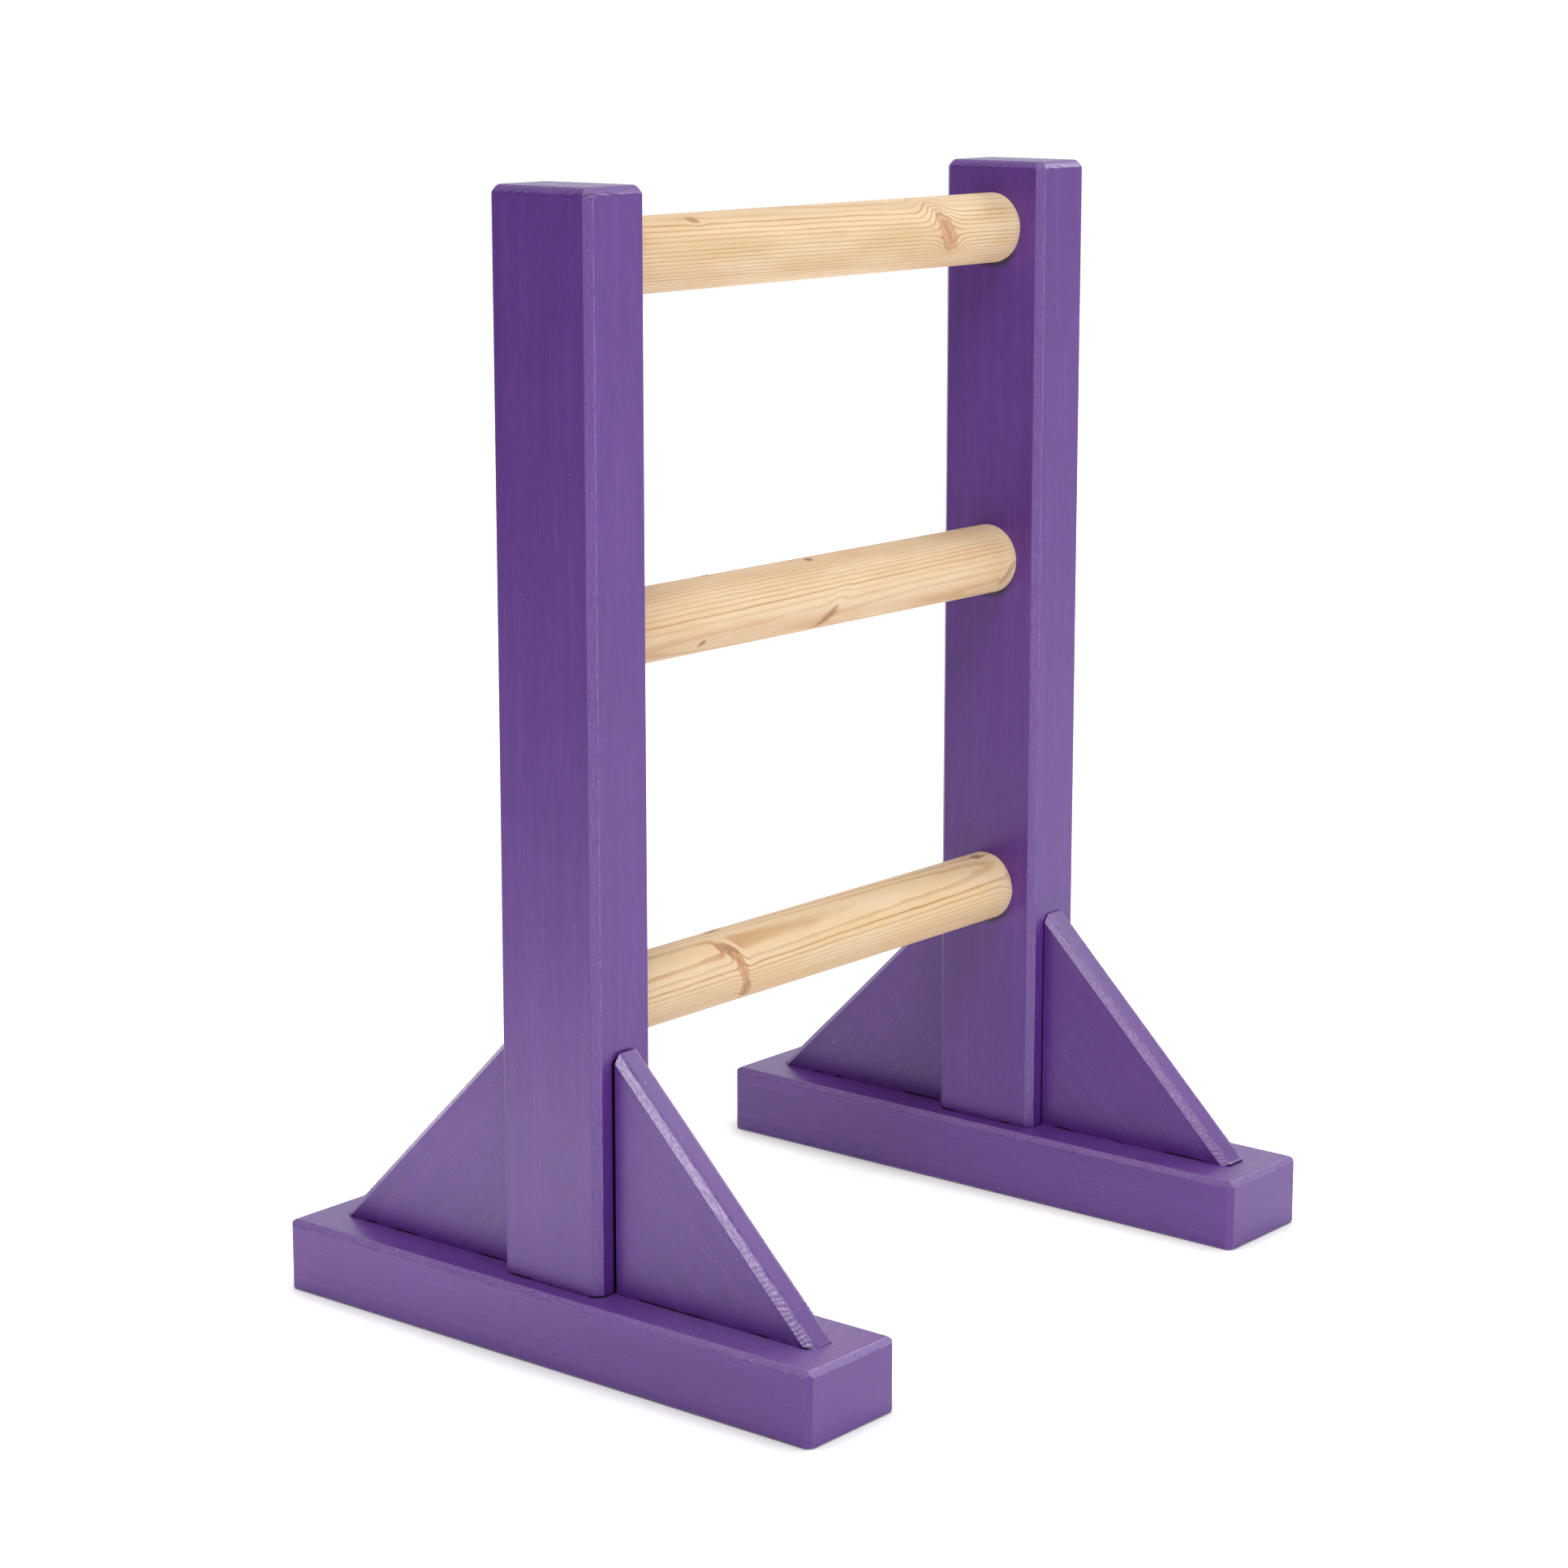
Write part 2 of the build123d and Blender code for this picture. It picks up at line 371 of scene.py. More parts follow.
def foot_piece(side, seed):
    """A foot beam: chamfered top edges and end corners, and an eased underside."""
    node = f"{side}_foot_beam"
    lo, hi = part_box(node)
    c, u = FOOT_CHAMFER, UNDERSIDE_CHAMFER
    upright = steps(hi.z - lo.z - c)
    counts = [
        steps(hi.x - lo.x), CHAMFER_STEPS // 2, upright, CHAMFER_STEPS,
        steps(hi.x - lo.x - 2 * c), CHAMFER_STEPS, upright, CHAMFER_STEPS // 2,
    ]
    end = np.linspace(c, 0, CHAMFER_STEPS + 1)
    rows = int(round((hi.y - lo.y) / LENGTH_STEP))
    middle = lo.y + c + (hi.y - lo.y - 2 * c) * spread(rows)[1:]
    y = np.concatenate([lo.y + c - end, middle, hi.y - c + end[::-1]])
    inset = np.concatenate([end, np.zeros(len(middle)), end[::-1]])
    y, inset = soften_open(y), soften_open(inset)
    rings = []
    for place, shrink in zip(y, inset):
        low_inset = max(0.0, shrink - (c - u))
        top_cut = max(0.2 * MM, c - 2 * shrink)
        ring = chamfered_rectangle(
            (lo.x + shrink, lo.z + low_inset), (hi.x - shrink, hi.z - shrink),
            (u, u, top_cut, top_cut), counts,
        )
        rings.append(np.column_stack([ring[:, 0], np.full(len(ring), place), ring[:, 1]]))
    piece = skin(f"{side}_foot_timber", rings)
    hand_finish(piece, 1, seed)
    screw_recesses(piece, (lo.x + hi.x) / 2, lo.z)
    return piece, node


def screw_recesses(piece, middle, floor):
    """Sinks the underside round each screw head."""
    points, _ = read_points(piece)
    under = points[:, 2] < floor + 0.5 * MM
    for place in FOOT_SCREWS:
        for sign in (-1, 1):
            away = np.hypot(points[:, 0] - middle, points[:, 1] - sign * place)
            points[under & (away < RECESS_RADIUS), 2] += RECESS_DEPTH
    write_points(piece, points)


def gusset_piece(side, end, seed):
    """A triangular board. Its slope is chamfered, and it stands a hair off the post."""
    node = f"{side}_{end}_gusset"
    lo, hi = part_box(node)
    sign = -1 if end == "front" else 1
    heel = (hi.y - JOINT_GAPS[side]) if sign < 0 else (lo.y + JOINT_GAPS[side])
    toe = lo.y if sign < 0 else hi.y
    reach, rise = abs(toe - heel), hi.z - lo.z
    slope = math.hypot(reach, rise)
    normal = np.array([sign * rise, reach]) / slope
    counts = [steps(reach), 2 * steps(slope), steps(rise)]
    half = (hi.x - lo.x) / 2
    centre = (hi.x + lo.x) / 2
    cut = np.linspace(GUSSET_CHAMFER, 0, 13)
    inner = half - GUSSET_CHAMFER
    flat = np.linspace(-inner, inner, 9)[1:-1]
    x = np.concatenate([-inner - cut, flat, inner + cut[::-1]])
    inset = np.concatenate([cut, np.zeros(len(flat)), cut[::-1]])
    x, inset = soften_open(x), soften_open(inset)
    rings = []
    for place, shrink in zip(x, inset):
        toe_y = toe - sign * shrink * slope / rise
        top_z = hi.z - shrink * slope / reach
        corners = [(heel, lo.z), (toe_y, lo.z), (heel, top_z)]
        ring = outline(corners, counts)
        rings.append(np.column_stack([np.full(len(ring), centre + place), ring]))
    piece = skin(f"{side}_{end}_gusset_board", rings)
    _, normals = read_points(piece)
    facing_post = np.clip((-sign * normals[:, 1] - 0.75) / 0.2, 0, 1)
    cut_slope(piece, normal, lo.z, SLOPE_WEAR_AND_SHEEN[side], seed)
    open_joint(piece, lo.z, facing_post, seed + 4)
    return piece, node


def cut_slope(piece, normal, floor, wear_and_sheen, seed):
    """Roughens a slope's chamfers, with cutter chatter near the toe, and marks their worn paint and
    painted highlight.

    normal is the slope's outward direction as (Y, Z), and the last argument is from 0 to 1.
    """
    points, normals = read_points(piece)
    on_slope = normals[:, 1] * normal[0] + normals[:, 2] * normal[1]
    cut_face = np.clip((on_slope - 0.45) / 0.15, 0, 1) * np.clip((0.93 - on_slope) / 0.08, 0, 1)
    along = points[:, 1] * normal[1] - points[:, 2] * normal[0]
    along += CHATTER_WANDER * smooth_noise(points, [4.5 * MM] * 3, seed + 8)
    near_toe = wear_and_sheen * np.clip(1.4 - (points[:, 2] - floor) / CHATTER_REACH, 0, 1)
    chatter = np.sin(2 * math.pi * (along + 0.4 * points[:, 0]) / CHATTER_PITCH)
    rough = 0.6 * smooth_noise(points, [4 * MM, 12 * MM, 12 * MM], seed)
    rough += CHATTER_STRENGTH * near_toe * chatter
    lift = cut_face * SLOPE_ROUGHNESS * rough
    lift += BOARD_WAVE_HEIGHT * smooth_noise(points, [BOARD_WAVE] * 3, seed + 3)
    write_points(piece, points + normals * lift[:, None])
    ribbed = 1 - 0.75 * near_toe * (0.5 + 0.5 * chatter)
    write_attribute(piece, "edge", cut_face * wear_and_sheen * ribbed)
    write_attribute(piece, "arris", np.clip(1 - np.abs(on_slope - 0.97) / 0.02, 0, 1))


def bar_piece(name, knots, seed):
    """A round bar: turned smooth, with the grain standing a little proud and knots dished in."""
    node = f"{name}_bar"
    lo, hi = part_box(node)
    radius = (hi.z - lo.z) / 2
    centre_z = (hi.z + lo.z) / 2
    around = BAR_POINTS_AROUND
    rows = int(round((hi.x - lo.x) / BAR_STEP))
    angle = np.linspace(0, 2 * math.pi, around, endpoint=False)
    x = lo.x + (hi.x - lo.x) * np.linspace(0, 1, rows)
    rings = [
        np.column_stack([
            np.full(around, place), -radius * np.cos(angle), centre_z + radius * np.sin(angle)
        ])
        for place in x
    ]
    piece = skin(f"{name}_bar_pine", rings)
    points, normals = read_points(piece)
    turn = np.arctan2(points[:, 2] - centre_z, -points[:, 1])
    lift = BAR_WAVE_HEIGHT * smooth_noise(points, grain_size(0, BAR_WAVE), seed)
    lift += BAR_GRAIN_HEIGHT * smooth_noise(points, grain_size(0, BAR_GRAIN), seed + 1)
    for knot in knots:
        away = knot_distance(points[:, 0], turn * radius, knot, radius)
        lift -= KNOT_DIP * np.exp(-(away ** 2))
        lift += KNOT_COLLAR * np.exp(-((away - 1.5) ** 2) / 0.12)
    inside = (points[:, 0] > lo.x + 0.5 * MM) & (points[:, 0] < hi.x - 0.5 * MM)
    write_points(piece, points + normals * (lift * inside)[:, None])
    return piece, node


def knot_distance(x, arc, knot, radius):
    """1 on the knot's oval edge, less inside it and more outside it."""
    u = x - knot.place * MM
    v = arc - math.radians(knot.degrees) * radius
    c, s = math.cos(math.radians(knot.tilt)), math.sin(math.radians(knot.tilt))
    return np.hypot((u * c + v * s) / (knot.length * MM), (v * c - u * s) / (knot.width * MM))


def peg(start, end, radius):
    """A short round peg with eased rims, from one point to another along X or Y."""
    start, end = np.array(start, float), np.array(end, float)
    length = np.linalg.norm(end - start)
    axis = (end - start) / length
    up = np.array([0.0, 0.0, 1.0])
    side = np.cross(axis, up)
    turn = np.linspace(0, 2 * math.pi, 40, endpoint=False)[:, None]
    circle = side * np.cos(turn) + up * np.sin(turn)
    ease = 0.1 * radius
    profile = [(0, radius - ease), (0.3 * ease, radius - 0.3 * ease), (ease, radius)]
    profile += [(length - along, r) for along, r in reversed(profile)]
    return skin("peg", [start + axis * along + circle * r for along, r in profile])


def merge(name, pieces):
    """Makes one piece of several."""
    work = bmesh.new()
    for piece in pieces:
        work.from_mesh(piece.data)
        bpy.data.objects.remove(piece)
    mesh = bpy.data.meshes.new(name)
    work.to_mesh(mesh)
    work.free()
    mesh.shade_smooth()
    merged = bpy.data.objects.new(name, mesh)
    bpy.context.scene.collection.objects.link(merged)
    return merged


def plug_piece():
    """Wooden plugs over the bar screws, just under the paint of the posts' outer faces."""
    node = "bar_screw_plugs"
    lo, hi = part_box(node)
    radius = (hi.y - lo.y) / 2
    pegs = []
    for bar in BARS:
        low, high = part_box(f"{bar}_bar")
        z = (low.z + high.z) / 2
        for sign in (-1, 1):
            outer = sign * (hi.x - PLUG_SINK)
            pegs.append(peg((sign * (hi.x - PLUG_DEPTH), 0, z), (outer, 0, z), radius))
    return merge("bar_screw_plug_wood", pegs), node


def filler_piece():
    """Dots of filler over the lost-head nails, just under the paint of the slopes."""
    node = "gusset_nail_fillers"
    lo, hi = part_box("gusset_nails")
    radius, z = (hi.z - lo.z) / 2, (hi.z + lo.z) / 2
    pegs = []
    for side in SIDES:
        low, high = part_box(f"{side}_post")
        x = (low.x + high.x) / 2
        for sign in (-1, 1):
            pegs.append(peg((x, sign * hi.y, z), (x, sign * (hi.y + FILLER_DEPTH), z), radius))
    return merge("gusset_nail_filler_dots", pegs), node


# ---------------------------------------------------------------- materials

class Graph:
    """Builds a node material, with one line for each node."""

    def __init__(self, name):
        self.material = bpy.data.materials.new(name)
        self.material.use_nodes = True
        self.tree = self.material.node_tree
        self.tree.nodes.clear()
        self.place = self.add("ShaderNodeTexCoord", output="Object")
        self.axes = self.split(self.place)

    def add(self, kind, inputs=None, output=0, **settings):
        node = self.tree.nodes.new(kind)
        for key, value in settings.items():
            setattr(node, key, value)
        for key, value in (inputs or {}).items():
            if isinstance(value, bpy.types.NodeSocket):
                self.tree.links.new(value, node.inputs[key])
            else:
                node.inputs[key].default_value = value
        return node.outputs[output]

    def split(self, vector):
        node = self.tree.nodes.new("ShaderNodeSeparateXYZ")
        self.tree.links.new(vector, node.inputs[0])
        return node.outputs[0], node.outputs[1], node.outputs[2]

    def join(self, x, y, z):
        return self.add("ShaderNodeCombineXYZ", {0: x, 1: y, 2: z})

    def attribute(self, name):
        """A number that the mesh stores for each point."""
        return self.add("ShaderNodeAttribute", attribute_name=name, output="Fac")

    def facing(self, axis):
        """How far the surface faces along an axis, from -1 to 1."""
        return self.split(self.add("ShaderNodeNewGeometry", output="Normal"))[axis]

    def math(self, operation, a, b=0.0):
        return self.add("ShaderNodeMath", {0: a, 1: b}, operation=operation)

    def times(self, a, b):
        return self.math("MULTIPLY", a, b)

    def plus(self, a, b):
        return self.math("ADD", a, b)

    def minus(self, a, b):
        return self.math("SUBTRACT", a, b)

    def between(self, value, low, high):
        """0 below low, 1 above high, and smooth between them."""
        return self.add(
            "ShaderNodeMapRange", {0: value, 1: low, 2: high, 3: 0.0, 4: 1.0},
            interpolation_type="SMOOTHSTEP",
        )

    def blend(self, factor, a, b):
        """Colour a where the factor is 0, and colour b where it is 1."""
        return self.add("ShaderNodeMix", {0: factor, 6: a, 7: b}, output=2, data_type="RGBA")

    def noise(self, size, detail, roughness=0.5, place=None, distortion=0.0):
        """Noise from 0 to 1. size is its grain along X, Y and Z in metres."""
        scaled = self.add(
            "ShaderNodeVectorMath",
            {0: place or self.place, 1: tuple(1 / s for s in size)}, operation="MULTIPLY",
        )
        inputs = {"Vector": scaled, "Scale": 1.0, "Detail": detail, "Roughness": roughness}
        inputs["Distortion"] = distortion
        return self.add("ShaderNodeTexNoise", inputs)

    def finish(self, color, roughness, height, distance, **constants):
        """Closes the material. Values that are the same all over go on the shader's own sockets."""
        normal = self.add("ShaderNodeBump", {"Height": height, "Distance": distance, "Strength": 1.0})
        inputs = {"Base Color": color, "Roughness": roughness, "Normal": normal}
        inputs.update(constants)
        shader = self.add("ShaderNodeBsdfPrincipled", inputs)
        out = self.tree.nodes.new("ShaderNodeOutputMaterial")
        self.tree.links.new(shader, out.inputs[0])
        return self.material


def shade(r, g, b):
    return (r, g, b, 1.0)


PAINT_DEEP = shade(0.058, 0.011, 0.150)
PAINT_DARK = shade(0.088, 0.018, 0.211)
PAINT_MID = shade(0.107, 0.026, 0.250)
PAINT_LIGHT = shade(0.150, 0.058, 0.306)
# Pale dry paint for scraped edges and scratches, also used for painted highlight and painted light.
PAINT_WORN_AND_LIT = shade(0.560, 0.470, 0.700)
# Near-black painted shade, for the gaps at the joints and the shadows under the bars.
GAP_SHADE = shade(0.006, 0.002, 0.010)
TORN_GRAIN = shade(0.040, 0.010, 0.090)
DUST = shade(0.80, 0.76, 0.86)

# Marks in the paint: their size across the fibres and along them.
FIBRE = (1.1 * MM, 60 * MM)
BAND = (7 * MM, 190 * MM)
HAIR = (0.45 * MM, 30 * MM)
TICK = (0.9 * MM, 11 * MM)
SCRAPE = (1.1 * MM, 2.6 * MM)
# Marks with no direction.
CLOUD = [70 * MM] * 3
PORE = [0.6 * MM] * 3
# Patches along the painted highlight line at the arrises.
ARRIS_PATCH = [6 * MM] * 3

PAINT_RELIEF = 0.14 * MM
STREAK_STRENGTH = 0.70
TICK_STRENGTH = 0.50
# How strong the painted highlight line at the arrises is.
ARRIS_HIGHLIGHT_STRENGTH = 0.55
TORN_STRENGTH = 0.70
SCRATCH_STRENGTH = 0.30
FRONT_UPWARD_LIGHT = 0.13
SLOPE_SCRAPE_HEIGHT = 0.9
CHAMFER_SCRAPE_HEIGHT = 0.2
# The ribs in radians per metre, and the dust's grid in cells per metre.
RIB_WAVES = 3500.0
DUST_CELLS = 320.0
# A saw mark's phase in radians: per metre across, per metre from the middle, and by its wander.
SAW_WAVES, SAW_SWEEP, SAW_WANDER = 1500.0, 90.0, 14.0
# Where a surface starts to face up, and where it fully does, as cosines.
FACES_UP = (0.5, 0.9)
# Painted shadows under the bars show between the posts: where they stop, as a distance from the
# frame's middle, and how far from a bar's surface they fade out.
BAR_SHADOWS_END = (180 * MM, 182 * MM)
BAR_SHADOW_FADE = (0.3 * MM, 4.4 * MM)


def paint_material(name, grain, wear_and_sheen, end_axis=None, slope=None, upward_light=0.0, bar_shadows=False):
    """Purple satin paint brushed on softwood, with the grain and the brush showing through.

    grain is the axis that the fibres run along. The third argument is how pale the chamfers are,
    from thin worn paint and from painted highlight, and end_axis the axis that end grain faces. slope
    is a gusset's long edge as (Y, Z), and then axis 1 runs along it. The next argument is how much
    painted light pales the surfaces that face up, and the last one paints shadows under the bars that
    enter the piece.
    """
    g = Graph(name)
    place = slope_place(g, slope) if slope else g.place
    fibre = g.noise(grain_size(grain, FIBRE), 4.0, 0.62, place)
    band = g.noise(grain_size(grain, BAND), 3.0, 0.55, place, 0.4)
    hair = g.noise(grain_size(grain, HAIR), 2.0, 0.5, place)
    tick = g.noise(grain_size(grain, TICK), 3.0, 0.6, place)
    cloud = g.noise(CLOUD, 2.0)
    pore = g.noise(PORE, 1.0)
    color = brushed_color(g, fibre, band, cloud, tick)
    # Painted light: surfaces that face up are paler.
    color = painted_upward_light(g, color, upward_light)
    height = g.plus(g.times(fibre, 0.55), g.plus(g.times(hair, 0.35), g.times(pore, 0.20)))
    if end_axis is not None:
        color, height = sawn_end(g, color, height, end_axis)
    color, height = worn_and_lit_edges(g, color, height, wear_and_sheen, place, grain, bool(slope))
    if slope:
        color, height = board_marks(g, color, height, place)
    color = g.blend(dust_specks(g), color, DUST)
    # Painted shade: near black in the gaps beside the gussets and along the joints with the feet.
    color = g.blend(g.between(g.attribute("joint"), 0.35, 0.75), color, GAP_SHADE)
    # Painted shadow under each bar, on the posts' inner faces.
    if bar_shadows:
        color = g.blend(painted_bar_shadow(g), color, GAP_SHADE)
    rough = g.plus(0.34, g.plus(g.times(fibre, 0.12), g.times(cloud, 0.10)))
    return g.finish(
        color, rough, height, PAINT_RELIEF,
        **{"Specular IOR Level": 0.45, "Coat Weight": 0.42, "Coat Roughness": 0.34},
    )


def slope_place(g, slope):
    """A place in the board measured along X, along its long edge and across that edge."""
    x, y, z = g.axes
    along = g.plus(g.times(y, slope[0]), g.times(z, slope[1]))
    across = g.minus(g.times(z, slope[0]), g.times(y, slope[1]))
    return g.join(x, along, across)


def brushed_color(g, fibre, band, cloud, tick):
    """Thicker and thinner paint in streaks, with dark ticks where it filled the grain."""
    tone = g.plus(g.times(fibre, 0.42), g.plus(g.times(band, 0.38), g.times(cloud, 0.30)))
    color = g.blend(g.between(tone, 0.40, 0.72), PAINT_DARK, PAINT_MID)
    streak = g.times(g.between(fibre, 0.54, 0.76), g.between(band, 0.42, 0.66))
    color = g.blend(g.times(streak, STREAK_STRENGTH), color, PAINT_LIGHT)
    return g.blend(g.times(g.between(tick, 0.50, 0.68), TICK_STRENGTH), color, PAINT_DEEP)


def painted_upward_light(g, color, upward_light):
    """Painted light: paler colour on surfaces that face up, most of all towards the front of a foot.
    """
    up = g.between(g.facing(2), *FACES_UP)
    color = g.blend(g.times(up, upward_light), color, PAINT_LIGHT)
    by_front = g.between(g.times(g.axes[1], -1.0), 0.02, 0.12)
    return g.blend(g.times(g.times(up, by_front), FRONT_UPWARD_LIGHT * upward_light), color, PAINT_WORN_AND_LIT)


def sawn_end(g, color, height, axis):
    """Darker paint and saw marks where end grain faces along the axis."""
    ended = g.between(g.math("ABSOLUTE", g.facing(axis)), 0.80, 0.95)
    marks = g.times(ended, saw_marks(g))
    color = g.blend(g.times(ended, 0.75), color, PAINT_DARK)
    color = g.blend(g.times(marks, 0.35), color, PAINT_DEEP)
    return color, g.plus(height, g.times(marks, 0.5))


def saw_marks(g):
    """Curved saw marks and growth rings that paint fills unevenly."""
    x, _, z = g.axes
    sweep = g.math("SQRT", g.plus(g.times(x, x), g.times(z, z)))
    wander = g.noise([12 * MM] * 3, 3.0)
    slant = g.times(g.minus(z, g.times(x, 0.9)), SAW_WAVES)
    phase = g.plus(slant, g.plus(g.times(sweep, SAW_SWEEP), g.times(wander, SAW_WANDER)))
    mark = g.between(g.math("SINE", phase), 0.2, 1.0)
    patch = g.between(g.noise([10 * MM, 10 * MM, 6 * MM], 3.0), 0.42, 0.62)
    return g.times(mark, patch)


def worn_and_lit_edges(g, color, height, wear_and_sheen, place, grain, rough_cut):
    """Dry scraped paint and painted highlight on chamfers, a painted highlight line beside them,
    and dark torn grain.
    """
    scuff = g.between(g.noise(grain_size(grain, SCRAPE), 3.0, 0.60, place), 0.38, 0.66)
    worn_and_lit = g.times(g.attribute("edge"), g.plus(0.50, g.times(scuff, 0.50)))
    # Paler chamfers: thin worn paint, and painted highlight.
    color = g.blend(g.times(worn_and_lit, wear_and_sheen), color, PAINT_WORN_AND_LIT)
    scrape_height = SLOPE_SCRAPE_HEIGHT if rough_cut else CHAMFER_SCRAPE_HEIGHT
    height = g.plus(height, g.times(worn_and_lit, scrape_height))
    # Painted highlight: a pale line along each arris where a chamfer meets a face.
    arris_highlight = g.times(g.attribute("arris"), g.between(g.noise(ARRIS_PATCH, 3.0), 0.32, 0.56))
    color = g.blend(g.times(arris_highlight, ARRIS_HIGHLIGHT_STRENGTH), color, PAINT_WORN_AND_LIT)
    color = g.blend(g.times(g.attribute("torn"), TORN_STRENGTH), color, TORN_GRAIN)
    return color, height


def board_marks(g, color, height, place):
    """Sanding scratches low on a gusset's faces, and fine ribs across the foot of its slope."""
    x, _, z = g.axes
    mark = g.between(g.noise([10 * MM, 35 * MM, 0.45 * MM], 2.0, 0.5, place), 0.64, 0.74)
    low = g.minus(1.0, g.between(z, 0.07, 0.13))
    patch = g.between(g.noise([30 * MM] * 3, 2.0), 0.42, 0.60)
    scratch = g.times(g.times(mark, low), patch)
    color = g.blend(g.times(scratch, SCRATCH_STRENGTH), color, PAINT_WORN_AND_LIT)
    lowest = g.minus(1.0, g.between(z, 0.062, 0.085))
    ribs = g.times(g.math("SINE", g.times(x, RIB_WAVES)), lowest)
    return color, g.plus(height, g.times(ribs, 0.35))


def painted_bar_shadow(g):
    """Painted shadow: a dark line under each bar, on the posts' inner faces."""
    x, y, z = g.axes
    inner = g.minus(1.0, g.between(g.math("ABSOLUTE", x), *BAR_SHADOWS_END))
    total = None
    for bar in BARS:
        lo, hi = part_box(f"{bar}_bar")
        radius, level = (hi.z - lo.z) / 2, g.minus(z, (hi.z + lo.z) / 2)
        away = g.minus(g.math("SQRT", g.plus(g.times(y, y), g.times(level, level))), radius)
        below = g.between(g.times(level, -1 / radius), 0.45, 0.95)
        line = g.times(below, g.minus(1.0, g.between(away, *BAR_SHADOW_FADE)))
        total = g.math("MAXIMUM", total, line) if total else line
    return g.times(total, g.times(inner, 0.92))


def dust_specks(g):
    """A few pale nibs caught in the wet paint, mostly on surfaces that face up near a toe."""
    cell = g.add("ShaderNodeTexVoronoi", {"Vector": g.place, "Scale": DUST_CELLS}, output="Distance")
    spot = g.minus(1.0, g.between(cell, 0.07, 0.13))
    up = g.between(g.facing(2), *FACES_UP)
    by_toe = g.between(g.math("ABSOLUTE", g.axes[1]), 0.06, 0.13)
    likely = g.minus(g.times(up, g.plus(0.07, g.times(by_toe, 0.13))), 0.035)
    rare = g.between(g.plus(g.noise([4.5 * MM] * 3, 1.0), likely), 0.61, 0.66)
    amount = g.plus(0.25, g.times(up, 0.55))
    return g.times(g.times(spot, rare), amount)


EARLY_WOODS = {
    "top": shade(0.700, 0.495, 0.290),
    "middle": shade(0.710, 0.500, 0.300),
    "bottom": shade(0.745, 0.545, 0.315),
}
PALE_WOOD = shade(0.765, 0.585, 0.378)
LATE_WOOD = shade(0.465, 0.222, 0.068)
KNOT_RIM = shade(0.330, 0.150, 0.060)
# Painted light that pales each bar towards the posts, against the shade where it enters them.
BAR_END_LIGHT = shade(0.930, 0.740, 0.480)
RED_KNOT = (0.640, 0.340, 0.185)
DARK_KNOT = (0.200, 0.080, 0.035)

# Marks in the pine: their size across the fibres and along them.
PINE_FIBRE = (0.35 * MM, 12 * MM)
PINE_CLOUD = (14 * MM, 80 * MM)
LATE_PATCH = (12 * MM, 50 * MM)
SWAY = (22 * MM, 120 * MM)
SHIVER = (3.5 * MM, 22 * MM)

PINE_RELIEF = 0.10 * MM
RING_SWAY = 1.7 * MM
RING_SHIVER = 0.6 * MM
# The painted light at the bars' ends: how far from a post it reaches, and how strong it is.
BAR_END_LIGHT_REACH = 16 * MM
BAR_END_LIGHT_STRENGTH = 0.45


def pine_material(name, node, growth, early, knots):
    """Bare sanded pine: growth rings round the heart of the tree, bent aside by each knot.

    early is the colour of the wood between the rings.
    """
    lo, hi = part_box(node)
    radius, centre_z = (hi.z - lo.z) / 2, (hi.z + lo.z) / 2
    g = Graph(name)
    x, y, z = g.axes
    level = g.minus(z, centre_z)
    ring = heart_distance(g, level, growth)
    arc = g.times(g.math("ARCTAN2", level, g.times(y, -1.0)), radius)
    fields = []
    pressed = None
    for knot in knots:
        away, across = knot_field(g, x, arc, knot, radius)
        core = ring_at(knot, growth, radius)
        pull = g.math("EXPONENT", g.times(g.times(away, away), -0.42))
        pressed = g.math("MAXIMUM", pull, pressed) if pressed else pull
        ring = g.add("ShaderNodeMix", {0: g.times(pull, knot.pull), 2: ring, 3: core})
        fields.append((away, across, knot))
    years = g.math("DIVIDE", ring, growth.spacing)
    late, line = late_wood(g, years, pressed, growth.contrast)
    fibre = g.noise(grain_size(0, PINE_FIBRE), 3.0, 0.6)
    cloud = g.noise(grain_size(0, PINE_CLOUD), 3.0)
    color = g.blend(g.between(cloud, 0.35, 0.68), early, PALE_WOOD)
    color = g.blend(g.times(g.between(fibre, 0.40, 0.75), 0.16), color, LATE_WOOD)
    color = g.blend(line, color, LATE_WOOD)
    for away, across, knot in fields:
        color = knot_color(g, color, away, across, knot)
    # Painted light: each bar grows paler over its last 16 mm before a post, against the shade there.
    end = g.minus(g.math("ABSOLUTE", x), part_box("right_post")[0].x)
    color = g.blend(g.times(g.between(end, -BAR_END_LIGHT_REACH, 0.0), BAR_END_LIGHT_STRENGTH), color, BAR_END_LIGHT)
    height = g.plus(g.times(late, 0.5), g.times(fibre, 0.6))
    rough = g.plus(0.46, g.times(fibre, 0.14))
    return g.finish(color, rough, height, PINE_RELIEF, **{"Specular IOR Level": 0.35})


def heart_distance(g, level, growth):
    """How far each point is from the heart of the tree, with a slight sway and shiver."""
    x, y, _ = g.axes
    reach = g.plus(growth.distance, g.times(x, growth.drift))
    side = g.plus(math.radians(growth.degrees), g.times(x, growth.turn))
    heart_y = g.times(g.math("COSINE", side), g.times(reach, -1.0))
    heart_z = g.times(g.math("SINE", side), reach)
    dy, dz = g.minus(y, heart_y), g.minus(level, heart_z)
    ring = g.math("SQRT", g.plus(g.times(dy, dy), g.times(dz, dz)))
    sway = g.minus(g.noise(grain_size(0, SWAY), 2.0), 0.5)
    shiver = g.minus(g.noise(grain_size(0, SHIVER), 2.0), 0.5)
    return g.plus(ring, g.plus(g.times(sway, RING_SWAY), g.times(shiver, RING_SHIVER)))


